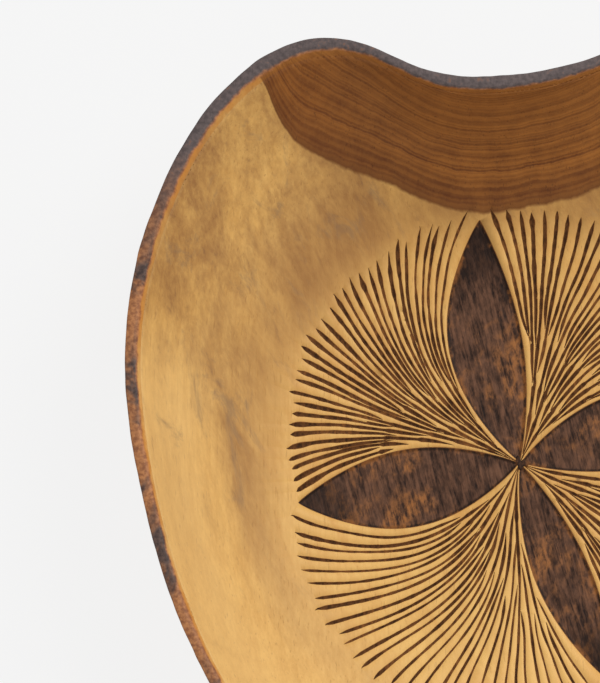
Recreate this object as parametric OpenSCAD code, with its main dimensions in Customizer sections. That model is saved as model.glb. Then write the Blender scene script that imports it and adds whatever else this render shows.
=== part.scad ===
// Shallow fruit bowl carved from one half log, with a heart-shaped rim.
// The wood grows in two zones, pale sapwood and brown heartwood, and is burnt on
// the rim and in four petals on the floor. Each zone is a solid of its own.
// Frame: +Z up, +Y towards the notched back of the rim, origin under the middle
// of the foot, on the surface that the bowl stands on. Millimetres.

/* [Block] */
// Width over the widest part of the rim
bowl_w = 300; // [240:5:360]
// Length from the front of the rim to its back shoulders
bowl_l = 326; // [260:2:390]
// Height from the foot to the top of the rim
bowl_h = 62; // [50:1:80]
// Wood left under the middle of the floor
floor_t = 12; // [9:1:16]

/* [Rim] */
// Mean width of the top of the rim
rim_w = 4.7; // [4:0.1:7]
// How much wider the rim is at the back, and narrower at the front
rim_w_swing = 0.8; // [0:0.1:1]
// Depth of the scorched band below the top of the rim
scorch_h = 2.6; // [1.5:0.1:4]
// Rounding on both edges of the rim
rim_round = 1.1; // [0.5:0.1:1.4]

/* [Hollow and foot] */
// Share of the hollow's rise that comes evenly from its middle
dish_share = 0.12; // [0.05:0.01:0.25]
// How late the inner wall turns up
inner_power = 5; // [4:0.5:7]
// Flat foot as a share of the rim's size
foot_share = 0.46; // [0.38:0.02:0.52]
// How late the outer wall turns up
outer_power = 2.1; // [1.9:0.1:2.4]
// How late the notch of the rim starts to show in the wall
notch_power = 3; // [2:0.5:5]

/* [Heartwood] */
// Radius of the log's dark core
heart_r = 138; // [125:1:150]
// Height of the core's lowest line above the foot
heart_low = 22; // [21:0.5:28]
// Sideways place of the log's pith
pith_x = -5; // [-15:1:15]

/* [Burnt petals] */
// Depth to which a petal's surface is burnt away
petal_sunk = 0.5; // [0.3:0.1:0.8]
// Thickness of the charred wood under that surface
char_t = 1; // [0.6:0.1:1.5]
// Sideways place of the flower's middle
flower_x = 4.5; // [-6:0.5:6]
// Place of the flower's middle along the bowl
flower_y = 0.5; // [-6:0.5:6]

/* [Hidden] */

sapwood = [0.80, 0.60, 0.36];
heartwood = [0.47, 0.29, 0.15];
charred = [0.26, 0.18, 0.14];

// Pull points of the rim's outline, anticlockwise from the notch at the back,
// for a bowl of the nominal size.
nominal = [300, 326];
pull = [
    [-9, 144], [-36, 147], [-61, 164], [-93, 161], [-124, 131], [-143, 88],
    [-153, 40], [-146, -14], [-131, -68], [-103, -121], [-56, -155], [0, -167],
    [57, -156], [104, -121], [132, -69], [147, -14], [152, 40], [143, 88],
    [125, 130], [98, 160], [64, 172], [34, 151]
];

// [direction from the flower's middle, length, bulge of the anticlockwise edge,
// bulge of the clockwise edge]
petal_back = [98.5, 98, 20.5, 9.5];
petal_left = [191, 88, 17.5, 14];
petal_front = [291, 94, 9.5, 12.5];
petal_right = [14, 92, 18, 13];
petals = [petal_back, petal_left, petal_front, petal_right];
petal_gap = 2.5;

// Half sizes of the oval that the lower contours of the bowl settle to.
oval = [0.487 * bowl_w, 0.475 * bowl_l];
pith_z = heart_low + heart_r;

sides = 108;
outer_rings = 9;
inner_rings = 11;
turn = 360 / sides;

// Point on the rim's outline: a closed cubic B-spline through the pull points,
// with t running from 0 to their number.
function wrap(i) = (i + len(pull)) % len(pull);
function outline(t) =
    let(i = floor(t), f = t - i,
        w = [pow(1 - f, 3), 3*pow(f, 3) - 6*f*f + 4, -3*pow(f, 3) + 3*f*f + 3*f + 1, pow(f, 3)])
    [for (k = [0, 1])
        (w[0]*pull[wrap(i - 1)][k] + w[1]*pull[wrap(i)][k]
         + w[2]*pull[wrap(i + 1)][k] + w[3]*pull[wrap(i + 2)][k]) / 6
         * [bowl_w, bowl_l][k] / nominal[k]];

// Distance from the middle to the rim in each direction, read from a fine walk
// round the outline.
walk = 12;
walked = [for (n = [0 : walk*len(pull)]) outline(n / walk % len(pull))];
angles = [for (p = walked) (atan2(p[1], p[0]) + 270) % 360];
reaches = [for (n = [0 : len(walked) - 2]) [angles[n], norm(walked[n])]];
lap = concat([for (p = reaches) [p[0] - 360, p[1]]], reaches,
             [for (p = reaches) [p[0] + 360, p[1]]]);
function reach(a) = lookup((a + 270) % 360, lap);

function rim_width(a) = rim_w + rim_w_swing * sin(a);

// Radius of a contour in direction a, at a share s of the way out. It is an oval
// low in the bowl and takes on the rim's outline as it nears the rim.
function contour(a, s, rim) =
    let(low = 1 / norm([cos(a) / oval[0], sin(a) / oval[1]]))
    s * (low + (rim - low) * pow(s, notch_power));

// Height of the hollow's surface, s being the share of the way to the rim.
function hollow_z(s) =
    floor_t + (bowl_h - floor_t) * (dish_share*s*s + (1 - dish_share)*pow(s, inner_power));
// The share at which the hollow has a height: halved down 24 times.
function hollow_share(z, low = 0, high = 1, n = 24) =
    n == 0 ? (low + high) / 2
    : let(mid = (low + high) / 2)
      hollow_z(mid) > z ? hollow_share(z, low, mid, n - 1) : hollow_share(z, mid, high, n - 1);
// The share of the way out at which a point of the floor lies, closed in on from
// a first guess, and the height of the hollow's surface there.
function floor_share(p, s = 0.5, n = 9) =
    let(a = atan2(p[1], p[0]))
    n == 0 ? s
    : floor_share(p, s * norm(p) / contour(a, s, reach(a) - rim_width(a)), n - 1);
function floor_z(p) = hollow_z(floor_share(p));
// The outside at height z, as a share of the rim's size.
function outer_share(z) = foot_share + (1 - foot_share) * pow(z / bowl_h, 1 / outer_power);

function polar(r, a, z) = [r * cos(a), r * sin(a), z];
function outer_ring(z) = [for (n = [0 : sides - 1])
    let(a = n * turn) polar(contour(a, outer_share(z), reach(a)), a, z)];
function inner_ring(s) = [for (n = [0 : sides - 1])
    let(a = n * turn) polar(contour(a, s, reach(a) - rim_width(a)), a, hollow_z(s))];
// A ring on the rim's top, set in from the outer edge, or from the inner edge if
// it is negative.
function top_ring(inset, z) = [for (n = [0 : sides - 1])
    let(a = n * turn)
    polar(inset >= 0 ? reach(a) - inset : reach(a) - rim_width(a) - inset, a, z)];

function band_faces(rings) = [for (r = [0 : rings - 2]) for (n = [0 : sides - 1])
    let(m = (n + 1) % sides, a = r*sides + n, b = r*sides + m)
    for (f = [[a, a + sides, b], [b, a + sides, b + sides]]) f];

// A closed skin through a stack of rings, with a point at the middle of each end.
module skin(rings, first, last) {
    count = len(rings);
    under = count * sides;
    points = concat([for (ring = rings) for (p = ring) p], [first, last]);
    caps = [for (n = [0 : sides - 1]) let(m = (n + 1) % sides) for (f = [
        [under, n, m],
        [under + 1, (count - 1)*sides + m, (count - 1)*sides + n]
    ]) f];
    polyhedron(points, concat(band_faces(count), caps));
}

// A closed skin whose stack of rings joins up with its own start.
module hoop(rings) {
    count = len(rings);
    points = [for (ring = rings) for (p = ring) p];
    faces = [for (r = [0 : count - 1]) for (n = [0 : sides - 1])
        let(m = (n + 1) % sides, next = ((r + 1) % count) * sides)
        for (f = [[r*sides + n, next + n, r*sides + m], [r*sides + m, next + n, next + m]]) f];
    polyhedron(points, faces);
}

// The carved block below the scorched band.
module block() {
    joint_z = bowl_h - scorch_h;
    joint_s = hollow_share(joint_z);
    outside = [for (n = [0 : outer_rings])
        outer_ring(joint_z * pow(n / outer_rings, outer_power))];
    inside = [for (n = [0 : inner_rings - 1])
        inner_ring(joint_s * (1 - pow(n / inner_rings, 1.25)))];
    skin(concat(outside, inside), [0, 0, 0], [0, 0, floor_t]);
}

// The log's dark core, on the side of the bowl that way points to.
module heart_core(way) {
    long = bowl_l;
    intersection() {
        translate([pith_x, 0, pith_z])
            rotate([90, 0, 0]) cylinder(r = heart_r, h = 2 * long, center = true, $fn = 180);
        translate([-long, way > 0 ? 0 : -long, 0]) cube([2 * long, long, pith_z]);
    }
}

// A point of a petal: s runs along it and t from its clockwise edge, -1, to its
// anticlockwise edge, 1. The edges are fattened sine waves.
function petal_point(petal, s, t) =
    let(along = petal_gap + s * petal[1],
        bulge = (t > 0 ? petal[2] : petal[3]) * t,
        side = bulge * pow(sin(180 * s), 0.85))
    [flower_x + along*cos(petal[0]) - side*sin(petal[0]),
     flower_y + along*sin(petal[0]) + side*cos(petal[0])];

// A petal's wood between two depths under the surface of the floor.
module petal_wood(petal, low, high) {
    along = 18;
    across = 6;
    row = across + 1;
    flat = [for (i = [1 : along - 1]) for (j = [0 : across])
        petal_point(petal, i / along, 2*j/across - 1)];
    ends = [petal_point(petal, 0, 0), petal_point(petal, 1, 0)];
    plan = concat(flat, ends);
    count = len(plan);
    near = len(flat);
    far = near + 1;
    points = concat([for (p = plan) [p[0], p[1], floor_z(p) + high]],
                    [for (p = plan) [p[0], p[1], floor_z(p) + low]]);
    last = (along - 2) * row;
    top = concat(
        [for (i = [0 : along - 3]) for (j = [0 : across - 1])
            let(a = i*row + j)
            for (f = [[a, a + 1, a + row], [a + 1, a + row + 1, a + row]]) f],
        [for (j = [0 : across - 1]) for (f = [[near, j + 1, j], [far, last + j, last + j + 1]]) f]);
    edge = concat([near], [for (i = [0 : along - 2]) i*row], [far],
                  [for (i = [along - 2 : -1 : 0]) i*row + across]);
    laps = len(edge);
    walls = [for (k = [0 : laps - 1])
        let(a = edge[k], b = edge[(k + 1) % laps])
        for (f = [[a, b, a + count], [b, b + count, a + count]]) f];
    under = [for (f = top) [f[2] + count, f[1] + count, f[0] + count]];
    polyhedron(points, concat(top, under, walls));
}

module pockets() {
    for (petal = petals) petal_wood(petal, -petal_sunk - char_t, petal_sunk);
}

module burnt_petal(petal) {
    color(charred) petal_wood(petal, -petal_sunk - char_t, -petal_sunk);
}

module bowl_body() {
    color(sapwood) difference() {
        block();
        heart_core(1);
        heart_core(-1);
        pockets();
    }
}

module heartwood_end(way) {
    color(heartwood) difference() {
        intersection() {
            block();
            heart_core(way);
        }
        pockets();
    }
}

// The burnt band on top of the rim, with rounded edges.
module scorched_rim() {
    joint_z = bowl_h - scorch_h;
    soft = 1 - cos(45);
    color(charred) hoop([
        outer_ring(joint_z),
        outer_ring(bowl_h - rim_round),
        top_ring(rim_round * soft, bowl_h - rim_round * soft),
        top_ring(rim_round, bowl_h),
        top_ring(-rim_round, bowl_h),
        top_ring(-rim_round * soft, bowl_h - rim_round * soft),
        inner_ring(hollow_share(bowl_h - rim_round)),
        inner_ring(hollow_share(joint_z))
    ]);
}

bowl_body();
heartwood_end(1);  // heartwood_back
heartwood_end(-1);  // heartwood_front
scorched_rim();
burnt_petal(petal_back);  // burnt_petal_back
burnt_petal(petal_left);  // burnt_petal_left
burnt_petal(petal_front);  // burnt_petal_front
burnt_petal(petal_right);  // burnt_petal_right
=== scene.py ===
"""Shallow fruit bowl carved from one half log: pale sapwood, a brown heartwood patch,
a scorched rim, and a four-petalled flower burnt into the floor with fine rays.

Everything is in metres in the bowl's own frame: +Z up, +Y towards the notch in the
rim, origin under the middle of the foot. The shape's formulas are the ones that the
solid model is built by, worked here in millimetres and scaled down at the end.
"""

import math

import bpy
import numpy as np
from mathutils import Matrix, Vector
from mathutils.geometry import delaunay_2d_cdt


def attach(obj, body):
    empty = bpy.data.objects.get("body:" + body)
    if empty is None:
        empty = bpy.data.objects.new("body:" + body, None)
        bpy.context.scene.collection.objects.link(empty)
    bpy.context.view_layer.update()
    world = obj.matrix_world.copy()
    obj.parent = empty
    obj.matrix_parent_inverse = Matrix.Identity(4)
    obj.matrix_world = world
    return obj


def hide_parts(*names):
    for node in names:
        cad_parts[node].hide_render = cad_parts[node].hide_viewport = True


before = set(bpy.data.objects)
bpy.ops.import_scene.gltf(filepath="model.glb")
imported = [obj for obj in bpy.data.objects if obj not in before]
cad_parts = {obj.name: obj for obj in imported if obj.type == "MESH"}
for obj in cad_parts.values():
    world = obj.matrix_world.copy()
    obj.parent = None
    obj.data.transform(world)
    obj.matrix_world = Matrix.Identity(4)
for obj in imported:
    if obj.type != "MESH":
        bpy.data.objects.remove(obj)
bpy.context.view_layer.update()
scene = bpy.context.scene


# ---------------------------------------------------------------------------
# The carved block. One piece of a half log, hollowed from the flat side with an
# adze and gouge, then sanded and oiled. Pale sapwood, with the log's dark core
# showing where the two ends of the hollow cut up into it.
# ---------------------------------------------------------------------------

MM = 0.001
BOWL_W = 300
BOWL_L = 326
BOWL_H = 62
FLOOR_T = 12
RIM_W = 4.7
RIM_W_SWING = 0.8
SCORCH_H = 2.6
DISH_SHARE = 0.12
INNER_POWER = 5
FOOT_SHARE = 0.46
OUTER_POWER = 2.1
NOTCH_POWER = 3
OVAL = np.array([0.487 * BOWL_W, 0.475 * BOWL_L])
FLOWER = np.array([4.5, 0.5])

PULL = np.array([
    [-9, 144], [-36, 147], [-61, 164], [-93, 161], [-124, 131], [-143, 88],
    [-153, 40], [-146, -14], [-131, -68], [-103, -121], [-56, -155], [0, -167],
    [57, -156], [104, -121], [132, -69], [147, -14], [152, 40], [143, 88],
    [125, 130], [98, 160], [64, 172], [34, 151],
], float)


def outline(t):
    """Points of the rim's outline: a closed cubic B-spline through the pull points."""
    i = np.floor(t).astype(int)
    f = t - i
    weights = ((1 - f) ** 3, 3 * f**3 - 6 * f**2 + 4, -3 * f**3 + 3 * f**2 + 3 * f + 1, f**3)
    return sum(w[:, None] * PULL[(i + k - 1) % len(PULL)] for k, w in enumerate(weights)) / 6


walked = outline(np.linspace(0, len(PULL), 40 * len(PULL), endpoint=False))
walked_angle = np.degrees(np.arctan2(walked[:, 1], walked[:, 0])) % 360
walked_reach = np.hypot(walked[:, 0], walked[:, 1])


def ripple(x, y, z, waves, shortest, longest, seed):
    """Slow hand-made unevenness, about -1 to 1: a sum of sine waves that run in
    random directions, with wavelengths between the shortest and the longest."""
    rng = np.random.default_rng(seed)
    total = np.zeros(np.broadcast(x, y, z).shape)
    for _ in range(waves):
        way = rng.normal(size=3)
        way *= 2 * np.pi / rng.uniform(shortest, longest) / np.linalg.norm(way)
        total = total + np.sin(way[0] * x + way[1] * y + way[2] * z + rng.uniform(0, 7))
    return total / math.sqrt(waves)


def reach(a):
    """Distance from the middle to the rim's outside, in direction a in degrees."""
    return np.interp(np.asarray(a) % 360, walked_angle, walked_reach, period=360)


def rim_inside(a):
    """Distance from the middle to the rim's inner edge in direction a."""
    return reach(a) - RIM_W - RIM_W_SWING * np.sin(np.radians(a))


def contour(a, s, rim):
    """Radius of a contour at a share s of the way out: an oval low in the bowl that
    takes on the rim's outline as it nears the rim."""
    low = 1 / np.hypot(np.cos(np.radians(a)) / OVAL[0], np.sin(np.radians(a)) / OVAL[1])
    return s * (low + (rim - low) * s**NOTCH_POWER)


def hollow_z(s):
    """Height of the hollow's surface at a share s of the way to the rim: a shallow
    dish and a wall that turns up late."""
    return FLOOR_T + (BOWL_H - FLOOR_T) * (DISH_SHARE * s**2 + (1 - DISH_SHARE) * s**INNER_POWER)


def hollow_share(z):
    """Share of the way out at which the hollow reaches height z."""
    s = np.linspace(0, 1.1, 4000)
    return np.interp(z, hollow_z(s), s)


def floor_z(x, y):
    """Height of the hollow above any point, by halving the share 30 times."""
    a = np.degrees(np.arctan2(y, x))
    r = np.hypot(x, y)
    rim = rim_inside(a)
    low = np.zeros_like(r)
    high = np.full_like(r, 1.2)
    for _ in range(30):
        middle = (low + high) / 2
        over = contour(a, middle, rim) > r
        high = np.where(over, middle, high)
        low = np.where(over, low, middle)
    return hollow_z((low + high) / 2)


def outer_share(z):
    """Size of the outside at height z, as a share of the rim's."""
    return FOOT_SHARE + (1 - FOOT_SHARE) * (z / BOWL_H) ** (1 / OUTER_POWER)


def polar(r, a, z):
    """Points at radius r, direction a in degrees and height z."""
    r, a, z = np.broadcast_arrays(r, np.radians(a), z)
    return np.stack([r * np.cos(a), r * np.sin(a), z], axis=-1)


def grid_faces(rows, columns):
    """Quads of a grid of points stored row by row, each row joined round to its start."""
    r, c = np.meshgrid(np.arange(rows - 1), np.arange(columns), indexing="ij")
    n = (c + 1) % columns
    quads = np.stack([r * columns + c, (r + 1) * columns + c, (r + 1) * columns + n, r * columns + n], -1)
    return quads.reshape(-1, 4)


def add_piece(name, points, faces, finish, replaces=()):
    """Puts points in millimetres and faces into a new piece that rides on the bowl."""
    mesh = bpy.data.meshes.new(name)
    mesh.from_pydata((np.asarray(points) * MM).tolist(), [], [list(map(int, f)) for f in faces])
    mesh.validate()
    mesh.polygons.foreach_set("use_smooth", [True] * len(mesh.polygons))
    mesh.materials.append(finish)
    piece = bpy.data.objects.new(name, mesh)
    scene.collection.objects.link(piece)
    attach(piece, "root")
    if replaces:
        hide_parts(*replaces)
    return piece


def add_values(piece, name, values):
    """Gives each point of a piece a value that its material can read by name."""
    held = piece.data.attributes.new(name, "FLOAT", "POINT")
    held.data.foreach_set("value", np.asarray(values, float).ravel())


# The burnt drawing on the floor, which the block is grooved and sunk for.
# Each petal is (direction, length, bulge of its anticlockwise edge, of its clockwise edge).
PETAL_GAP = 0.5
PETAL_FULLNESS = 0.85
PETALS = {
    "back": (98.5, 99.2, 20.5, 9.5),
    "left": (191, 89.2, 17.5, 14),
    "front": (291, 95.2, 9.5, 12.5),
    "right": (14, 93.2, 18, 13),
}
PETAL_SUNK = 0.5
POCKET = PETAL_SUNK + 0.25


def petal_point(petal, s, t):
    """A petal's plan: s runs along it and t across it from -1 to 1, and each edge is a
    fattened sine wave."""
    direction, length, bulge_left, bulge_right = petal
    along = PETAL_GAP + s * length
    swell = np.sin(np.pi * np.clip(s, 0, 1)) ** PETAL_FULLNESS
    side = np.where(t > 0, bulge_left, bulge_right) * t * swell
    c, d = math.cos(math.radians(direction)), math.sin(math.radians(direction))
    return np.stack([FLOWER[0] + along * c - side * d, FLOWER[1] + along * d + side * c], -1)


# Each fan of rays: the petals on its clockwise and anticlockwise sides, how far its
# tips reach at its start, middle and end, how much its middle rays bow besides, the
# number of rays, how broad they are at its start and end, and the share of a ray that
# its tip tapers over there.
FANS = {
    "back_left": ("back", "left", (103.5, 98.5, 88.5), 2.5, 32, (0.78, 1.14), (0.10, 0.03)),
    "front_left": ("left", "front", (91.5, 104.5, 101), 8.0, 30, (0.84, 0.66), (0.04, 0.04)),
    "front_right": ("front", "right", (101, 103, 97), 3.0, 28, (0.90, 0.90), (0.08, 0.08)),
    "back_right": ("right", "back", (97, 102, 103.5), 3.0, 28, (0.92, 0.98), (0.08, 0.05)),
}
RAY_ROWS = 54


def ray_point(fan, q, s):
    """A point of a fan at share q of the way across it and share s of the way out. The
    side that a ray bows to goes over from one petal's edge to the other's."""
    start, end, tips, extra = fan[:4]
    first, last = PETALS[start], PETALS[end]
    turn = (last[0] - first[0]) % 360
    a = np.radians(first[0] + q * turn)
    tip = tips[0] * (1 - q) * (1 - 2 * q) + tips[1] * 4 * q * (1 - q) + tips[2] * q * (2 * q - 1)
    along = s * tip
    swing = np.sin(np.pi * np.clip(s, 0, 1))
    side = (first[2] * (1 - q) - last[3] * q) * swing**PETAL_FULLNESS
    side = side + extra * 4 * q * (1 - q) * swing ** (2 * PETAL_FULLNESS)
    x = FLOWER[0] + along * np.cos(a) - side * np.sin(a)
    y = FLOWER[1] + along * np.sin(a) + side * np.cos(a)
    return np.stack([x, y], -1)


# The closest that the pen keeps two rays, and a ray and a petal.
CLOSEST = 1.45
FROM_PETAL = 1.15
# Shares of the way out: where the first rays start, where those that run into the hub
# do, and over how much a ray leans over to the neighbour that it joins.
INNERMOST = 0.03
INSIDE_HUB = 0.012
LEANS_OVER = 0.11
LEAN = 0.42
# How uneven the hand is: in its spacing, in a stroke's breadth and in its line.
UNEVEN_GAPS = 0.13
UNSTEADY = 0.13
DRIFT = 0.25
ROOM_USED = 0.35
FINEST = 0.04
TRIALS = 190


def rays(fan, seed):
    """Middle lines, side directions, half widths and pen pressure of a fan's rays, as
    arrays of rays by rows. Where the rays crowd closer than the pen can keep apart,
    every second one runs into its neighbour, further in every fourth, and so on."""
    rng = np.random.default_rng(seed)
    count = fan[4]
    number = np.arange(count)
    gap = 1 / (count + 1)
    own = (number + 1 + rng.uniform(-UNEVEN_GAPS, UNEVEN_GAPS, count)) * gap
    breadth = np.interp(own, (0, 1), fan[5])[:, None]
    taper = np.interp(own, (0, 1), fan[6])[:, None]

    # Every second ray is of level 0 and joins its neighbour first, every fourth is of
    # level 1, every eighth of level 2, and the rest, of level 3, reach the middle.
    level = np.where(number % 2 == 0, 0, np.where(number % 4 == 1, 1, np.where(number % 8 == 3, 2, 3)))

    def spacing(q, s):
        """Distance between neighbouring rays, before any of them have run together."""
        return np.linalg.norm(ray_point(fan, q + gap / 2, s) - ray_point(fan, q - gap / 2, s), axis=-1)

    def last_place(mask):
        """Share of the way out up to which the mask holds on each ray."""
        return np.where(mask.any(axis=1), tried[-1 - mask[:, ::-1].argmax(axis=1)], INNERMOST)

    # Each ray starts where there is room for it beside its neighbours and the petals.
    tried = np.linspace(INNERMOST, 0.97, TRIALS)
    crowded = spacing(own[:, None], tried[None, :]) * 2.0 ** level[:, None] < CLOSEST
    inner = last_place(crowded) * rng.uniform(0.9, 1.12, count)
    here = ray_point(fan, own[:, None], tried[None, :])
    petal_edges = [ray_point(fan, np.full((1, 1), k), tried[None, :]) for k in (0.0, 1.0)]
    pinched = np.minimum(*[np.linalg.norm(here - edge, axis=-1) for edge in petal_edges]) < FROM_PETAL
    inner = np.maximum(inner, last_place(pinched))
    to_hub = (level == 3) & (own > 0.15) & (own < 0.85)
    inner = np.where(to_hub, INSIDE_HUB, np.clip(inner, INNERMOST, 0.7))
    outer = 1 + rng.uniform(-0.02, 0.014, count)
    u = 1 - (1 - np.linspace(0, 1, RAY_ROWS)) ** 1.35
    s = inner[:, None] + (outer - inner)[:, None] * u

    # At its start a ray leans over towards the neighbour that it joins.
    step = 2**level
    towards = np.where(rng.random(count) < 0.5, -1, 1)
    towards = np.where(number - step < 0, 1, np.where(number + step >= count, -1, towards)) * gap * step
    drawn_in = np.clip(1 - (s - inner[:, None]) / LEANS_OVER, 0, 1) ** 2 * LEAN
    q = own[:, None] + np.where(level < 3, towards, 0)[:, None] * drawn_in
    middle = ray_point(fan, q, s)
    along = np.gradient(middle, axis=1)
    along /= np.linalg.norm(along, axis=-1, keepdims=True)
    side = np.stack([-along[..., 1], along[..., 0]], -1)

    # The room that a ray has here, counting only the rays that have not joined others.
    crowd = spacing(q, s)
    merged = np.clip(np.ceil(np.log2(CLOSEST / crowd)), 0, level[:, None])
    room = crowd * 2.0**merged

    # The pen is pressed harder here and there, at the tips and near the middle, and
    # its stroke is broader and darker there.
    own_line = 11.0 * number[:, None]
    press = 0.52 + 0.72 * ripple(middle[..., 0], middle[..., 1], own_line, 5, 12, 38, seed)
    press = press + 0.6 * np.clip((u - 0.76) / 0.14, 0, 1) + 0.6 * np.clip((0.46 - s) / 0.2, 0, 1)
    press = np.clip(press + (breadth - 0.92) * 0.9, 0, 1)
    unsteady = 1 + UNSTEADY * ripple(middle[..., 0], middle[..., 1], own_line + 3, 6, 3, 9, seed + 2)
    wide = breadth * rng.uniform(0.86, 1.14, count)[:, None] * (0.63 + 0.17 * press) * unsteady
    wide = wide * (1 + 0.18 * np.clip((u - 0.80) / 0.1, 0, 1) + 0.28 * np.clip((0.5 - s) / 0.2, 0, 1))
    wide = np.minimum(wide, ROOM_USED * room)
    wide = np.where(to_hub[:, None] & (s < 0.15), np.maximum(wide, 0.5), wide)
    ends = np.clip((1 - u) / taper, 0, 1) ** 0.75 * np.clip(u / 0.12, 0.1, 1) ** 0.7
    wide = np.maximum(wide * ends, FINEST)
    drift = DRIFT * ripple(middle[..., 0], middle[..., 1], own_line + 5, 5, 14, 40, seed + 1)
    middle = middle + side * (drift * np.clip(crowd / 3, 0, 1))[..., None]
    return middle, side, wide, press


GROOVE = 0.45
CHAR_ROOM = 0.1
FULL_STROKE = 0.6
drawn = {name: rays(fan, 11 + n) for n, (name, fan) in enumerate(FANS.items())}

# The floor's plan: the flower and its rays inside a plain circle, cut into triangles
# that keep every edge of the drawing.
DISC_R = 113
ROUND = 480
PETAL_POINTS = 70
POCKET_EDGE = 0.97
round_angle = np.arange(ROUND) * 360 / ROUND
plan_points, plan_edges, plan_sunk = [], [], []


def add_line(points, sunk, closed):
    """Adds a line of the drawing to the plan, with its depth under the floor."""
    first = sum(len(p) for p in plan_points)
    count = len(points)
    plan_points.append(points)
    plan_sunk.append(np.broadcast_to(sunk, count))
    index = np.arange(first, first + count)
    pairs = np.stack([index, np.roll(index, -1)], -1)
    plan_edges.append(pairs if closed else pairs[:-1])


def circle(radius, count):
    """Points round the flower's middle, evenly spaced."""
    turn = np.radians(np.arange(count) * 360 / count)
    return FLOWER + radius * np.stack([np.cos(turn), np.sin(turn)], -1)


rim_of_disc = circle(DISC_R, ROUND)
add_line(rim_of_disc, 0.0, True)
for shrink, count in ((0.975, 420), (0.945, 380)):
    add_line(circle(DISC_R * shrink, count), 0.0, False)
for middle, side, wide, _ in drawn.values():
    for m, d, w in zip(middle, side, wide):
        edge = np.concatenate([m + d * w[:, None], (m - d * w[:, None])[::-1]])
        add_line(edge, 0.0, True)
        depth = GROOVE * np.clip(w / FULL_STROKE, 0.05, 1) + CHAR_ROOM * np.clip(w / 0.3, 0.3, 1)
        add_line(m[1:-1], depth[1:-1], False)
    for m in (middle[1:] + middle[:-1]) / 2:
        add_line(m[24::4], 0.0, False)
for petal in PETALS.values():
    s = (1 - np.cos(np.linspace(0, np.pi, PETAL_POINTS))) / 2
    outer = np.concatenate([petal_point(petal, s, 1.0), petal_point(petal, s[1:-1], -1.0)[::-1]])
    add_line(outer, 0.0, True)
    inner_s = 0.003 + 0.994 * s
    pocket_sides = [petal_point(petal, inner_s, t) for t in (POCKET_EDGE, -POCKET_EDGE)]
    add_line(np.concatenate([pocket_sides[0], pocket_sides[1][::-1]]), POCKET, True)
    for t in (-0.6, 0.0, 0.6):
        add_line(petal_point(petal, np.linspace(0.06, 0.94, 30), t), POCKET, False)

# Where two lines cross, the cutting makes a point that is on neither line's list.
CROSSING_SUNK = 0.3
KEEP_INSIDE = 1
SAME_POINT = 1e-5
plan = np.concatenate(plan_points)
sunk = np.concatenate(plan_sunk)
edges = np.concatenate(plan_edges)
cut, _, cut_faces, cut_from, _, _ = delaunay_2d_cdt(
    [Vector(p) for p in plan.tolist()], edges.tolist(), [list(range(ROUND))], KEEP_INSIDE, SAME_POINT, True
)
cut_plan = np.array([tuple(v) for v in cut])
cut_sunk = np.array([max((sunk[i] for i in known), default=CROSSING_SUNK) for known in cut_from])

# The wall of the hollow, from the edge of that circle up to the scorched band, then
# down the outside to the foot.
joint_z = BOWL_H - SCORCH_H
INNER_RINGS = 44
OUTER_RINGS = 40
FOOT_RINGS = 8
WALL_WAVE = 0.16
OUTER_WAVE = 0.35
grow = np.linspace(0, 1, INNER_RINGS)[:, None, None]
brim = polar(contour(round_angle, hollow_share(joint_z), rim_inside(round_angle)), round_angle, 0)[:, :2]
wall = rim_of_disc * (1 - grow) + brim * grow
wall_z = floor_z(wall[..., 0], wall[..., 1])
fade = (4 * grow * (1 - grow))[..., 0]
wall_z = wall_z + WALL_WAVE * fade * ripple(wall[..., 0], wall[..., 1], wall_z, 9, 16, 44, 5)
inside = np.concatenate([wall, wall_z[..., None]], -1)

height = joint_z * (1 - np.linspace(0, 1, OUTER_RINGS)[:, None]) ** OUTER_POWER
out_r = contour(round_angle, outer_share(height), reach(round_angle))
out = polar(out_r, round_angle, height)
fade = np.clip(height / 8, 0, 1) * np.clip((joint_z - height) / 6, 0, 1)
out_r = out_r + OUTER_WAVE * fade * ripple(out[..., 0], out[..., 1], out[..., 2], 9, 16, 50, 6)
out = polar(out_r, round_angle, height)
under = out[-1] * np.linspace(1, 0, FOOT_RINGS, endpoint=False)[1:, None, None]

rings = np.concatenate([inside, out, under])
ring_faces = grid_faces(len(rings), ROUND)
shell = rings.reshape(-1, 3)
foot_middle = len(shell)
last = foot_middle - ROUND + np.arange(ROUND)
foot_faces = np.stack([last, np.full(ROUND, foot_middle), np.roll(last, -1)], -1)

# Points of the cut plan that are the circle's own take the wall's numbers.
on_circle = np.array([min([i for i in known if i < ROUND], default=-1) for known in cut_from])
number = np.where(on_circle >= 0, on_circle, 0)
free = on_circle < 0
number[free] = foot_middle + 1 + np.arange(free.sum())
floor = np.column_stack([cut_plan, floor_z(cut_plan[:, 0], cut_plan[:, 1]) - cut_sunk])
points = np.concatenate([shell, [[0, 0, 0]], floor[free]])
floor_faces = [[int(number[i]) for i in face] for face in cut_faces]


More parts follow.
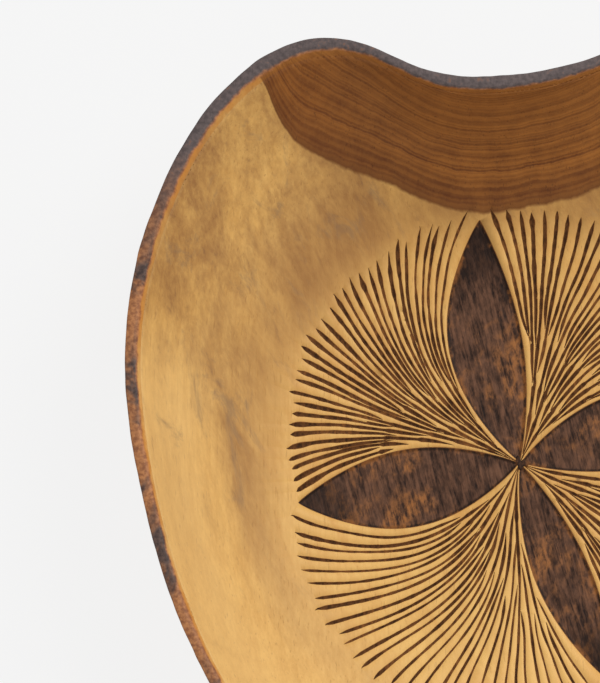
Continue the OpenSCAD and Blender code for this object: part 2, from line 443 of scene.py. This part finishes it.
class Strand:
    """One value in a material, such as a height or a mask. Sums, products and powers of
    strands and numbers add the Math nodes that work them out."""

    def __init__(self, tree, socket):
        self.tree = tree
        self.socket = socket

    def node(self, kind, settings=None, inputs=None, output=0):
        """Any other node: its settings go in first, then its sockets' values or links."""
        made = self.tree.nodes.new(kind)
        for key, value in (settings or {}).items():
            setattr(made, key, value)
        for key, value in (inputs or {}).items():
            if isinstance(value, Strand):
                self.tree.links.new(value.socket, made.inputs[key])
            else:
                made.inputs[key].default_value = value
        return Strand(self.tree, made.outputs[output])

    def math(self, operation, *values):
        """A Math node on strands and numbers."""
        return self.node("ShaderNodeMath", {"operation": operation}, dict(enumerate(values)))

    def __add__(self, other):
        return self.math("ADD", self, other)

    def __sub__(self, other):
        return self.math("SUBTRACT", self, other)

    def __mul__(self, other):
        return self.math("MULTIPLY", self, other)

    def __truediv__(self, other):
        return self.math("DIVIDE", self, other)

    def __pow__(self, other):
        return self.math("POWER", self, other)

    def __rsub__(self, other):
        return self.math("SUBTRACT", other, self)

    __radd__ = __add__
    __rmul__ = __mul__

    def smooth(self, low, high):
        """0 where the strand is at low, 1 where it is at high, with eased ends."""
        settings = {"interpolation_type": "SMOOTHSTEP"}
        return self.node("ShaderNodeMapRange", settings, {0: self, 1: low, 2: high, 3: 0.0, 4: 1.0})

    def mix(self, first, second):
        """Goes from the first colour to the second as the strand goes from 0 to 1."""
        first = first if isinstance(first, Strand) else (*first, 1.0)
        second = second if isinstance(second, Strand) else (*second, 1.0)
        return self.node("ShaderNodeMix", {"data_type": "RGBA"}, {0: self, 6: first, 7: second}, 2)

    def noise(self, per_metre, detail=3.0, rough=0.5, shift=(0, 0, 0), warp=0.0):
        """Cloudy values about 0 to 1. per_metre is how many clouds fit in a metre along
        X, Y and Z, so a low number draws the clouds out along that way."""
        scale = per_metre if isinstance(per_metre, tuple) else (per_metre,) * 3
        moved = self.node("ShaderNodeMapping", {}, {"Vector": self, "Location": shift, "Scale": scale})
        inputs = {"Vector": moved, "Scale": 1.0, "Detail": detail, "Roughness": rough, "Distortion": warp}
        return moved.node("ShaderNodeTexNoise", {}, inputs)

    def turned(self, angle):
        """A place turned about Z, so that patterns on it run slantwise."""
        settings = {"rotation_type": "Z_AXIS"}
        return self.node("ShaderNodeVectorRotate", settings, {"Vector": self, "Angle": angle})

    def value(self, name):
        """What the piece's points hold under a name."""
        return self.node("ShaderNodeAttribute", {"attribute_name": name}, output="Fac")


def new_finish(name):
    """A material, with its place on the piece in metres, and X, Y and Z in millimetres."""
    finish = bpy.data.materials.new(name)
    finish.use_nodes = True
    start = Strand(finish.node_tree, None)
    place = start.node("ShaderNodeTexCoord", output="Object")
    axes = [place.node("ShaderNodeSeparateXYZ", {}, {0: place}, way) * (1 / MM) for way in "XYZ"]
    return finish, place, axes


def close_finish(finish, colour, roughness, relief, depth, gloss=0.25):
    """Joins a colour, a roughness and a relief of the given depth to the shader."""
    shader = finish.node_tree.nodes["Principled BSDF"]
    link = finish.node_tree.links.new
    link(colour.socket, shader.inputs["Base Color"])
    link(roughness.socket, shader.inputs["Roughness"])
    shader.inputs["Specular IOR Level"].default_value = gloss
    inputs = {"Height": relief, "Strength": 1.0, "Distance": depth * MM}
    bump = relief.node("ShaderNodeBump", {}, inputs)
    link(bump.socket, shader.inputs["Normal"])


PITH_X = -5
HEART_R = 138
PITH_Z = 22 + HEART_R
RING_GAP = 3.1
FINE_RING_GAP = 0.8

HEART_DARK = (0.124, 0.032, 0.0050)
HEART_LIGHT = (0.385, 0.140, 0.0235)
HEART_PAINTED_LIGHT = (0.44, 0.185, 0.056)
HEART_SHADED = (0.130, 0.034, 0.005)
HEART_PORE = (0.070, 0.022, 0.006)
HEART_FIBRE = (0.46, 0.21, 0.06)
HEART_BORDER = (0.100, 0.029, 0.005)
HEART_LAST_RING = (0.085, 0.030, 0.008)
SAP_LIGHT = (0.840, 0.500, 0.150)
SAP_DEEP = (0.630, 0.330, 0.084)
SAP_PORE = (0.33, 0.155, 0.048)
SAP_FLOWER_PALE = (0.95, 0.60, 0.20)
SAP_SINGED = (0.60, 0.265, 0.060)
SAP_PAINTED_LIGHT = (0.82, 0.56, 0.25)
SAP_PAINTED_SHADE = (0.48, 0.235, 0.056)
SMOKE_AND_SHADE = (0.320, 0.150, 0.046)
GUM = (0.200, 0.110, 0.058)
SMUDGE = (0.215, 0.140, 0.082)
GRIME = (0.30, 0.165, 0.070)
PIN_KNOT = (0.20, 0.10, 0.045)
TOAST = (0.56, 0.225, 0.040)
BROWNED = ((0.27, 0.098, 0.038), (0.56, 0.235, 0.085))
BROWN_CHAR = ((0.050, 0.031, 0.027), (0.135, 0.082, 0.064))
GREY_CHAR_SHEEN = ((0.078, 0.059, 0.057), (0.136, 0.102, 0.097))
EMBER = (0.25, 0.098, 0.035)


def wood():
    """Oiled wood, grown round a pith that runs along the bowl above it: the rings follow
    the distance from the pith, and inside the core's radius the wood is brown. Where
    the piece's "sear" is above 0 the wood is charred, and just below 0 it is toasted."""
    finish, place, (x, y, z) = new_finish("oiled_wood")
    sway = place.noise((9, 5, 9), 2.0, 0.5) - 0.5
    small_sway = place.noise((70, 45, 70), 4.0, 0.62, shift=(3, 1, 2)) - 0.5
    from_pith = ((x - PITH_X) ** 2 + (z - PITH_Z) ** 2) ** 0.5
    left_swell = x.smooth(-100, -82) * x.smooth(-24, -84) * 4.2 - x.smooth(-92, -99) * 1.8
    right_swell = x.smooth(8, 46) * x.smooth(104, 80) * 3.4
    swell = left_swell + right_swell + x.smooth(-100, -86) * 0.9
    depth = from_pith - swell * y.smooth(40, 100) + sway * 1.2 + small_sway * 2.0
    heart = depth.smooth(HEART_R + 0.3, HEART_R - 0.4)

    # Growth rings: uneven bands, and a thin dark line at the end of each season.
    one_way = {"noise_dimensions": "1D"}
    band = depth.node("ShaderNodeTexNoise", one_way, {"W": depth / RING_GAP, "Scale": 1.0, "Detail": 2.0})
    fine_inputs = {"W": depth / FINE_RING_GAP, "Scale": 1.0, "Detail": 3.0}
    fine_band = depth.node("ShaderNodeTexNoise", one_way, fine_inputs)
    years = depth / RING_GAP + small_sway * 0.3
    season = years.math("FRACT", years)
    late = season.smooth(0.6, 0.95) * (1 - season.smooth(0.95, 1.0))

    # Fibres run along the log; pores are short dark dashes in the same direction.
    fibre = place.noise((850, 40, 850), 3.0, 0.6)
    long_fibre = place.noise((220, 7, 220), 3.0, 0.55, shift=(5, 2, 1))
    mottle = place.noise((130, 90, 130), 4.0, 0.62, shift=(9, 3, 1))
    pores = place.noise((1500, 130, 1500), 1.0, 0.5, shift=(2, 8, 4)).smooth(0.64, 0.76)

    tone = band.smooth(0.25, 0.75) * 0.34 + fine_band.smooth(0.35, 0.65) * 0.40
    tone = tone + mottle.smooth(0.3, 0.7) * 0.32
    brown = (tone + 0.04 - late * 0.14).mix(HEART_DARK, HEART_LIGHT)
    # Painted light: the heartwood is lighter high up the wall and away from the left side.
    brown = (z.smooth(24, 54) * x.smooth(-95, -35) * 0.3).mix(brown, HEART_PAINTED_LIGHT)
    brown = (x.smooth(-30, -85) * 0.3).mix(brown, HEART_SHADED)
    brown = (pores * 0.5).mix(brown, HEART_PORE)
    brown = (fibre.smooth(0.35, 0.75) * 0.12).mix(brown, HEART_FIBRE)
    brown = (depth.smooth(HEART_R - 9, HEART_R - 2) * 0.3).mix(brown, HEART_BORDER)
    brown = (depth.smooth(HEART_R - 2, HEART_R - 0.4) * 0.35).mix(brown, HEART_LAST_RING)

    shade = band.smooth(0.3, 0.7) * 0.14 + long_fibre.smooth(0.3, 0.7) * 0.34
    shade = shade + fibre.smooth(0.36, 0.64) * 0.24
    speckle = place.noise((900, 620, 900), 3.0, 0.7, shift=(6, 6, 2))
    shade = shade + (speckle - 0.5) * 0.55 + (mottle - 0.5) * 0.30
    pale = shade.mix(SAP_LIGHT, SAP_DEEP)
    pale = (pores * 0.40).mix(pale, SAP_PORE)

    # Patina: greyish-brown clouds left by smoking and handling outside the flower, drawn
    # out slantwise and thicker towards the back. Painted shade is mixed in with them: the
    # low floor and the upper back wall are darkened towards the back.
    slant = place.turned(-0.5)
    from_flower = ((x - FLOWER[0]) ** 2 + (y - FLOWER[1]) ** 2) ** 0.5
    plain = from_flower.smooth(88, 112)
    cloud = slant.noise((30, 9, 30), 5.0, 0.6, shift=(1, 4, 0), warp=0.35)
    wisps = slant.noise((130, 22, 130), 5.0, 0.68, shift=(7, 1, 3), warp=0.7)
    rubbed = slant.noise((520, 110, 520), 3.0, 0.65, shift=(1, 1, 7))
    smudges = slant.noise((60, 20, 60), 5.0, 0.7, shift=(2, 9, 4), warp=0.8)
    towards_back = y.smooth(-110, 20)
    low_floor = z.smooth(34, 18)
    # Painted light: the upper wall, except at the back, is darkened less and painted paler.
    painted_lit_wall = z.smooth(26, 44) * y.smooth(60, 10)
    smoke_and_shade = cloud.smooth(0.36, 0.62) * 0.54 + wisps.smooth(0.34, 0.72) * 0.36
    smoke_and_shade = smoke_and_shade + rubbed.smooth(0.34, 0.70) * 0.22
    reach_of_smoke_and_shade = (plain * 0.8 + 0.2) * (towards_back * 0.75 + 0.25) * (1 - painted_lit_wall * 0.45)
    # Painted shade: the low floor and the upper back wall, darkened towards the back.
    painted_back_shade = low_floor * 0.32 + z.smooth(30, 50) * y.smooth(40, 80) * 0.16 + 0.03
    painted_back_shade = painted_back_shade * (plain * 0.8 + 0.2)
    smoke_and_shade = smoke_and_shade * reach_of_smoke_and_shade * 0.80 + towards_back * painted_back_shade
    pale = smoke_and_shade.mix(pale, SMOKE_AND_SHADE)
    # Painted light on the upper wall at the front and sides.
    pale = (painted_lit_wall * 0.28).mix(pale, SAP_PAINTED_LIGHT)
    # Painted shade: the low floor darker towards the back, less so inside the flower.
    pale = (low_floor * y.smooth(-60, 20) * (plain * 0.32 + 0.06)).mix(pale, SAP_PAINTED_SHADE)

    # Inside the flower the floor is lighter, more so towards the front and away from the middle, and the
    # hot pen has singed it in places.
    flower_lightening = (1 - plain) * (0.46 - towards_back * 0.36) * from_flower.smooth(5, 60)
    pale = flower_lightening.mix(pale, SAP_FLOWER_PALE)
    singe = (1 - plain) * (smudges * 0.5 + wisps * 0.5).smooth(0.42, 0.62)
    pale = (singe * 0.34).mix(pale, SAP_SINGED)

    # Gum and smudges.
    gum = wisps.smooth(0.60, 0.76) * rubbed.smooth(0.42, 0.6) * plain * towards_back
    pale = (gum * 0.5).mix(pale, GUM)
    smudge = smudges.smooth(0.56, 0.70) * plain * (towards_back * 0.8 + 0.2)
    pale = (smudge * 0.46).mix(pale, SMUDGE)

    # The foot is rubbed and grimy at its edge.
    grime = z.smooth(2.2, 0.1) * (rubbed * 0.9 + cloud * 0.5).smooth(0.5, 0.9)
    pale = (grime * 0.5).mix(pale, GRIME)

    # A few pin knots.
    spots = place.node("ShaderNodeTexVoronoi", {"feature": "F1"}, {"Vector": place, "Scale": 38.0})
    pin = (1 - spots.smooth(0.02, 0.06)) * cloud.smooth(0.5, 0.6)
    pale = (pin * 0.7).mix(pale, PIN_KNOT)

    colour = heart.mix(pale, brown)

    # The sear along the rim: toasted orange at its border, then brown, then char, painted grey towards the
    # back as a sheen.
    sear = place.value("sear")
    lick = place.noise((150, 150, 150), 4.0, 0.62, shift=(2, 7, 1))
    patches = place.noise((52, 34, 52), 4.0, 0.66, shift=(5, 2, 0), warp=0.5)
    flecks = place.noise((520, 520, 520), 3.0, 0.6, shift=(1, 5, 2))
    heat = sear + (lick - 0.5) * 2.2
    glow = heat.smooth(-1.5, -0.2)
    toast = glow * (patches.smooth(0.36, 0.56) * 0.6 + 0.3) * (1 - heart * 0.65)
    colour = toast.mix(colour, TOAST)
    browned = heat.smooth(-0.35, 0.35)
    flecked = flecks.smooth(0.3, 0.7)
    colour = browned.mix(colour, flecked.mix(*BROWNED))
    bare = patches.smooth(0.39, 0.54) * y.smooth(120, 60)
    burnt = heat.smooth(0.0, 0.9) * (1 - bare * 0.9)
    # Painted sheen: the char turns grey towards the back of the rim.
    char = (y + (patches - 0.5) * 90).smooth(80, 120).mix(flecked.mix(*BROWN_CHAR), flecked.mix(*GREY_CHAR_SHEEN))
    colour = burnt.mix(colour, char)
    ember = flecks.smooth(0.55, 0.72) * patches.smooth(0.46, 0.58) * burnt
    colour = (ember * 0.5).mix(colour, EMBER)

    roughness = 0.47 + fibre * 0.1 + smoke_and_shade * 0.08
    relief = fibre * 0.5 + long_fibre * 0.25 - pores * 0.5 - late * heart * 0.2 + flecks * browned * 0.9
    close_finish(finish, colour, roughness, relief, 0.10)
    return finish


wood_finish = wood()
block = add_piece(
    "carved_block",
    points,
    [*ring_faces.tolist(), *foot_faces.tolist(), *floor_faces],
    wood_finish,
    ("bowl_body", "heartwood_back", "heartwood_front"),
)

TOASTED = 3.2
TOASTED_FROM = 118
TOASTED_OVER = 45
UNSEARED = -9.0
SEAR_AT_JOINT = 2.2
SEAR_INSIDE = -2.0
SEARED_RINGS = 3


def toasted(y):
    """How much lighter the outside is seared at the front and sides than at the back."""
    return TOASTED * np.clip((TOASTED_FROM - y) / TOASTED_OVER, 0, 1)


sear = np.full(len(points), UNSEARED)
outside = slice(INNER_RINGS * ROUND, foot_middle)
sear[outside] = SEAR_AT_JOINT - toasted(points[outside, 1]) - (joint_z - points[outside, 2])
wall_top = slice((INNER_RINGS - SEARED_RINGS) * ROUND, INNER_RINGS * ROUND)
sear[wall_top] = SEAR_INSIDE - (joint_z - points[wall_top, 2])
add_values(block, "sear", sear)


# ---------------------------------------------------------------------------
# The scorched rim. The top of the wall, rounded over by hand and then seared with a
# flame, so it is charred brown with patches of toasted orange wood left between, and
# its char is painted grey towards the back as a sheen.
# It is one wood with the block and meets it 2.6 mm below the top.
# ---------------------------------------------------------------------------

RIM_ROUND = 1.1
RIM_TURNS = 900
RIM_OVERLAP = 0.4
OUTER_WORN = 0.12
TOP_WORN = 0.24
UNEVEN_OUTSIDE = 0.22
UNEVEN_INSIDE = 0.18
UNEVEN_TOP = 0.10
NOTCHED = 0.07
CROWN_SHARE = 0.38
CROWN_LIFT = 0.08
rim_angle = np.arange(RIM_TURNS) * 360 / RIM_TURNS
spot = polar(reach(rim_angle), rim_angle, 0)
uneven = ripple(spot[:, 0], spot[:, 1], spot[:, 2], 8, 14, 60, 21)
notches = ripple(spot[:, 0], spot[:, 1], spot[:, 2] + 30, 10, 4, 11, 22)

corner = np.linspace(0, math.pi / 2, 6)
outer_side = [(BOWL_H - SCORCH_H - RIM_OVERLAP, 0.0), (BOWL_H - SCORCH_H, 0.0)]
for k in corner:
    outer_side.append((BOWL_H - RIM_ROUND + RIM_ROUND * math.sin(k), RIM_ROUND * (1 - math.cos(k))))
profile = [(1, z, inset) for z, inset in outer_side] + [(0, z, inset) for z, inset in outer_side[::-1]]
rim_rows = []
for is_outer, z, inset in profile:
    rise = max((z - joint_z) / SCORCH_H, 0.0)
    if is_outer:
        edge = contour(rim_angle, outer_share(z), reach(rim_angle)) - inset
        edge = edge + rise * (UNEVEN_OUTSIDE * uneven + NOTCHED * notches - OUTER_WORN)
    else:
        edge = contour(rim_angle, hollow_share(min(z, BOWL_H)), rim_inside(rim_angle)) + inset
        edge = edge + rise * (UNEVEN_INSIDE * np.roll(uneven, 70) - NOTCHED * np.roll(notches, 40))
    level = z - rise * (TOP_WORN + UNEVEN_TOP * np.roll(uneven, 130))
    rim_rows.append(polar(edge, rim_angle, level))

# Two more rows between the top's edges lift its middle a little.
top_row = len(outer_side)
top_outer, top_inner = rim_rows[top_row - 1], rim_rows[top_row]
lift = np.array([0, 0, CROWN_LIFT])
crown = [top_outer * (1 - k) + top_inner * k + lift for k in (CROWN_SHARE, 1 - CROWN_SHARE)]
rim_rows[top_row:top_row] = crown
rim_points = np.stack(rim_rows)
rim_faces = grid_faces(len(rim_rows) + 1, RIM_TURNS) % (len(rim_rows) * RIM_TURNS)

# The sear's depth on each line of the band: full on the outside and top, and gone a
# little way down the inner wall. The front and sides are only toasted on the outside.
outer_sear = [2.0, 2.2, 3.0, 3.3, 3.5, 3.6, 3.6, 3.5]
inner_sear = [3.0, 2.4, 1.6, 1.2, 0.9, 0.6, 0.3, -0.1, -0.8, -2.0]
line_sear = np.array(outer_sear + inner_sear)
line_outer = np.array([1, 1, 1, 1, 0.8, 0.55, 0.3, 0.1] + [0] * len(inner_sear))
rim_sear = line_sear[:, None] - line_outer[:, None] * toasted(rim_points[..., 1])
rim = add_piece(
    "scorched_rim_band",
    rim_points.reshape(-1, 3),
    rim_faces[:, ::-1],
    wood_finish,
    ("scorched_rim",),
)
add_values(rim, "sear", rim_sear)


# ---------------------------------------------------------------------------
# The burnt petals. Four leaf shapes seared into the floor with the flat of a hot
# iron, sunk half a millimetre. The grain shows through the char as fine streaks.
# ---------------------------------------------------------------------------

PETAL_ROWS = 150
PETAL_COLUMNS = 41
CHAR_T = 1.0
PROUD = 0.02
DIP_OVER = 1.3
PITTED = 0.07

CHAR_DARK = (0.0125, 0.0062, 0.0045)
CHAR_BROWN = (0.180, 0.085, 0.048)
CHAR_WARM = (0.43, 0.165, 0.042)
CHAR_BLACK = (0.014, 0.007, 0.005)
CHAR_OUTLINE = (0.016, 0.008, 0.005)
FRINGE = (0.34, 0.125, 0.030)
HALO = (0.26, 0.105, 0.035)


def charred():
    """Charred wood: near-black brown drawn out along the grain, with warm patches where
    the iron was lifted early, blacker towards the tips, and a dark line round the edge
    that gives way to an orange fringe in places."""
    finish, place, (x, y, _) = new_finish("charred_wood")
    side = place.value("from_edge")
    from_hub = ((x - FLOWER[0]) ** 2 + (y - FLOWER[1]) ** 2) ** 0.5
    slant = place.turned(-0.22)
    grain = slant.noise((900, 80, 900), 4.0, 0.65)
    wide_grain = slant.noise((260, 60, 260), 4.0, 0.62, shift=(4, 4, 1), warp=0.3)
    clouds = place.noise((56, 40, 56), 4.0, 0.62, shift=(3, 2, 1), warp=0.5)
    flecks = place.noise((420, 210, 420), 4.0, 0.65, shift=(4, 1, 6))
    streak = grain.smooth(0.44, 0.58) * 0.55 + wide_grain.smooth(0.43, 0.59) * 0.45
    tone = streak * 0.62 + flecks.smooth(0.36, 0.68) * 0.34 + clouds.smooth(0.4, 0.6) * 0.12
    colour = tone.mix(CHAR_DARK, CHAR_BROWN)
    warm = clouds.smooth(0.46, 0.66) * (grain * 0.45 + flecks * 0.9).smooth(0.56, 0.84)
    colour = (warm * 0.72).mix(colour, CHAR_WARM)
    scorch = ((clouds - 0.5) * 50 + from_hub).smooth(64, 84)
    colour = (scorch * 0.72).mix(colour, CHAR_BLACK)
    outline_burn = side.smooth(1.7, 0.6)
    colour = (outline_burn * 0.85).mix(colour, CHAR_OUTLINE)
    fringe = side.smooth(2.4, 0.7) * (clouds * 0.6 + flecks * 0.4).smooth(0.48, 0.60)
    colour = (fringe * 0.62).mix(colour, FRINGE)
    halo = side.smooth(0.42, 0.08)
    colour = (halo * 0.8).mix(colour, HALO)
    roughness = 0.5 + grain * 0.2
    relief = grain * 0.6 + flecks * 0.5
    close_finish(finish, colour, roughness, relief, 0.22, gloss=0.12)
    return finish


def bar_faces(rows, columns):
    """Faces of a closed bar whose rings are the rows of a grid: its sides and two ends."""
    last_row = (rows - 1) * columns
    ends = [list(range(columns)), list(range(last_row, last_row + columns))[::-1]]
    return [*grid_faces(rows, columns).tolist(), *ends]


char_finish = charred()
for name, petal in PETALS.items():
    s = (1 - np.cos(np.linspace(0, np.pi, PETAL_ROWS + 2)[1:-1])) / 2
    t = np.sin(np.linspace(-np.pi / 2, np.pi / 2, PETAL_COLUMNS))
    s, t = np.meshgrid(s, t, indexing="ij")
    top = petal_point(petal, s, t)
    half = np.where(t > 0, petal[2], petal[3]) * np.sin(np.pi * s) ** PETAL_FULLNESS
    from_edge = (1 - np.abs(t)) * half
    ground_z = floor_z(top[..., 0], top[..., 1])
    dip = PETAL_SUNK * np.clip(from_edge / DIP_OVER, 0, 1)
    pits = ripple(top[..., 0], top[..., 1] * 0.5, ground_z, 12, 1.5, 6, 31)
    pitted = PITTED * np.clip(from_edge, 0, 1) * pits
    upper = np.concatenate([top, (ground_z + PROUD - dip + pitted)[..., None]], -1)
    lower = np.concatenate([top, (ground_z - PETAL_SUNK - CHAR_T)[..., None]], -1)
    ring = np.concatenate([upper, lower[:, ::-1]], axis=1)
    piece = add_piece(
        f"burnt_petal_{name}_char",
        ring.reshape(-1, 3),
        bar_faces(PETAL_ROWS, 2 * PETAL_COLUMNS),
        char_finish,
        (f"burnt_petal_{name}",),
    )
    away = np.concatenate([from_edge, from_edge[:, ::-1]], axis=1)
    add_values(piece, "from_edge", away)


# The spot where the four tips meet: one press of the iron, a shallow uneven dot.
HUB_R = 2.2
HUB_UNEVEN = 0.38
HUB_TURNS = 48
HUB_FROM_EDGE = 1.0
# The lens from the top's middle to the underside's: share of the radius, and depth.
hub_share = np.array([0.02, 0.35, 0.7, 1.0, 1.0, 0.7, 0.02])[:, None]
hub_depth = np.array([-0.02, -0.05, -0.06, -0.03, 0.6, 0.8, 0.9])[:, None]
hub_angle = np.arange(HUB_TURNS) * 360 / HUB_TURNS
hub_round = polar(30, hub_angle, 0)
hub_r = HUB_R * (1 + HUB_UNEVEN * ripple(*hub_round.T, 6, 20, 60, 51))
hub_xy = polar(hub_r * hub_share, hub_angle, 0)[..., :2] + FLOWER
hub_z = floor_z(hub_xy[..., 0], hub_xy[..., 1]) - hub_depth
hub = np.concatenate([hub_xy, hub_z[..., None]], -1)
piece = add_piece("burnt_hub", hub.reshape(-1, 3), bar_faces(*hub_z.shape), char_finish)
add_values(piece, "from_edge", np.full(hub_z.shape, HUB_FROM_EDGE))


# ---------------------------------------------------------------------------
# The rays. Strokes of a hot wire pen between the petals: narrow grooves, charred
# along the bottom and toasted at both edges, that run together towards the middle.
# ---------------------------------------------------------------------------

PEN_DARK = ((0.040, 0.0155, 0.0055), (0.125, 0.048, 0.015))
PEN_LIGHT = ((0.080, 0.031, 0.012), (0.21, 0.080, 0.022))
PEN_EDGE = (0.33, 0.125, 0.032)


def pen_burn():
    """The charred lining of a pen stroke: black-brown in the middle, orange-brown at its
    edges, and lighter where the pen moved quickly."""
    finish, place, _ = new_finish("pen_burn")
    side = place.value("stroke_side")
    press = place.value("pen_press")
    flecks = place.noise((700, 300, 700), 2.0, 0.6)
    flecked = flecks.smooth(0.3, 0.7)
    quick = (press + (flecks - 0.5) * 0.5).smooth(0.66, 0.34)
    colour = quick.mix(flecked.mix(*PEN_DARK), flecked.mix(*PEN_LIGHT))
    colour = (side.smooth(0.55, 1.0) * 0.55).mix(colour, PEN_EDGE)
    roughness = 0.55 + flecks * 0.15
    close_finish(finish, colour, roughness, flecks, 0.08, gloss=0.06)
    return finish


pen_finish = pen_burn()
LANES = np.array([-1.0, -0.62, 0.0, 0.62, 1.0])
LINED = 0.8
LINING_POWER = 1.1
LINING_T = 0.35
for name, (middle, side, wide, press) in drawn.items():
    plan_xy = middle[:, :, None] + side[:, :, None] * (wide[..., None] * LANES)[..., None]
    ground_z = floor_z(plan_xy[..., 0], plan_xy[..., 1])
    deep = GROOVE * np.clip(wide / FULL_STROKE, 0.05, 1)
    upper_z = ground_z + PROUD - LINED * deep[..., None] * (1 - np.abs(LANES)) ** LINING_POWER
    upper = np.concatenate([plan_xy, upper_z[..., None]], -1)
    lower = upper[:, :, [-1, 0]].copy()
    lower[..., 2] = ground_z[:, :, [-1, 0]] - deep[..., None] - LINING_T
    ring = np.concatenate([upper, lower], axis=2)
    count, rows, round_count = ring.shape[:3]
    first_points = np.arange(count) * rows * round_count
    every = (grid_faces(rows, round_count) + first_points[:, None, None]).reshape(-1, 4)
    starts = first_points[:, None] + np.arange(round_count)
    finishes = starts + (rows - 1) * round_count
    faces = [*every.tolist(), *starts.tolist(), *finishes[:, ::-1].tolist()]
    piece = add_piece(f"burnt_rays_{name}", ring.reshape(-1, 3), faces, pen_finish)
    stroke = np.broadcast_to(np.abs(np.concatenate([LANES, [1, 1]])), ring.shape[:3])
    add_values(piece, "stroke_side", stroke)
    pressed = np.broadcast_to(press[..., None], ring.shape[:3])
    add_values(piece, "pen_press", pressed)


# ---------------------------------------------------------------------------
# Lights, floor and camera. Pale paper under the bowl, a large soft light from the back
# right and a weak one from the front left, and a long lens looking steeply down.
# ---------------------------------------------------------------------------

GROUND_SIZE = 8
GROUND_Z = -0.0002
PAPER_GREY = 0.06
PAPER_GLOW = 0.846
ROOM_LIGHT = 0.42
LIT_AT = (0, 0, 0.02)

bpy.ops.mesh.primitive_plane_add(size=GROUND_SIZE, location=(0, 0, GROUND_Z))
ground = bpy.context.object
ground.name = "studio_floor"
paper = bpy.data.materials.new("pale_paper")
paper.use_nodes = True
paper_shader = paper.node_tree.nodes["Principled BSDF"]
paper_shader.inputs["Base Color"].default_value = (PAPER_GREY, PAPER_GREY, PAPER_GREY, 1)
paper_shader.inputs["Emission Color"].default_value = (1, 1, 1, 1)
paper_shader.inputs["Emission Strength"].default_value = PAPER_GLOW
paper_shader.inputs["Roughness"].default_value = 0.9
ground.data.materials.append(paper)

world = bpy.data.worlds.new("studio")
world.use_nodes = True
world.node_tree.nodes["Background"].inputs["Color"].default_value = (1, 1, 1, 1)
world.node_tree.nodes["Background"].inputs["Strength"].default_value = ROOM_LIGHT
scene.world = world
scene.view_settings.view_transform = "Standard"


def soft_light(name, place, aim, size, power):
    """A square softbox at a place, turned to its aim."""
    lamp = bpy.data.lights.new(name, "AREA")
    lamp.size = size
    lamp.energy = power
    holder = bpy.data.objects.new(name, lamp)
    holder.location = place
    holder.rotation_euler = (Vector(aim) - Vector(place)).to_track_quat("-Z", "Y").to_euler()
    scene.collection.objects.link(holder)


soft_light("key_light", (0.75, 0.75, 1.05), LIT_AT, size=1.0, power=17)
soft_light("fill_light", (-0.6, -1.1, 1.2), LIT_AT, size=1.4, power=3)

AIM = Vector((-0.0828, 0.037, 0.062))
AWAY = 0.97763
RISE = math.radians(75)
camera = bpy.data.objects.new("camera", bpy.data.cameras.new("camera"))
camera.data.lens = 135
camera.data.sensor_width = 36
camera.location = AIM + AWAY * Vector((0, -math.cos(RISE), math.sin(RISE)))
camera.rotation_euler = (math.pi / 2 - RISE, 0, 0)
scene.collection.objects.link(camera)
scene.camera = camera
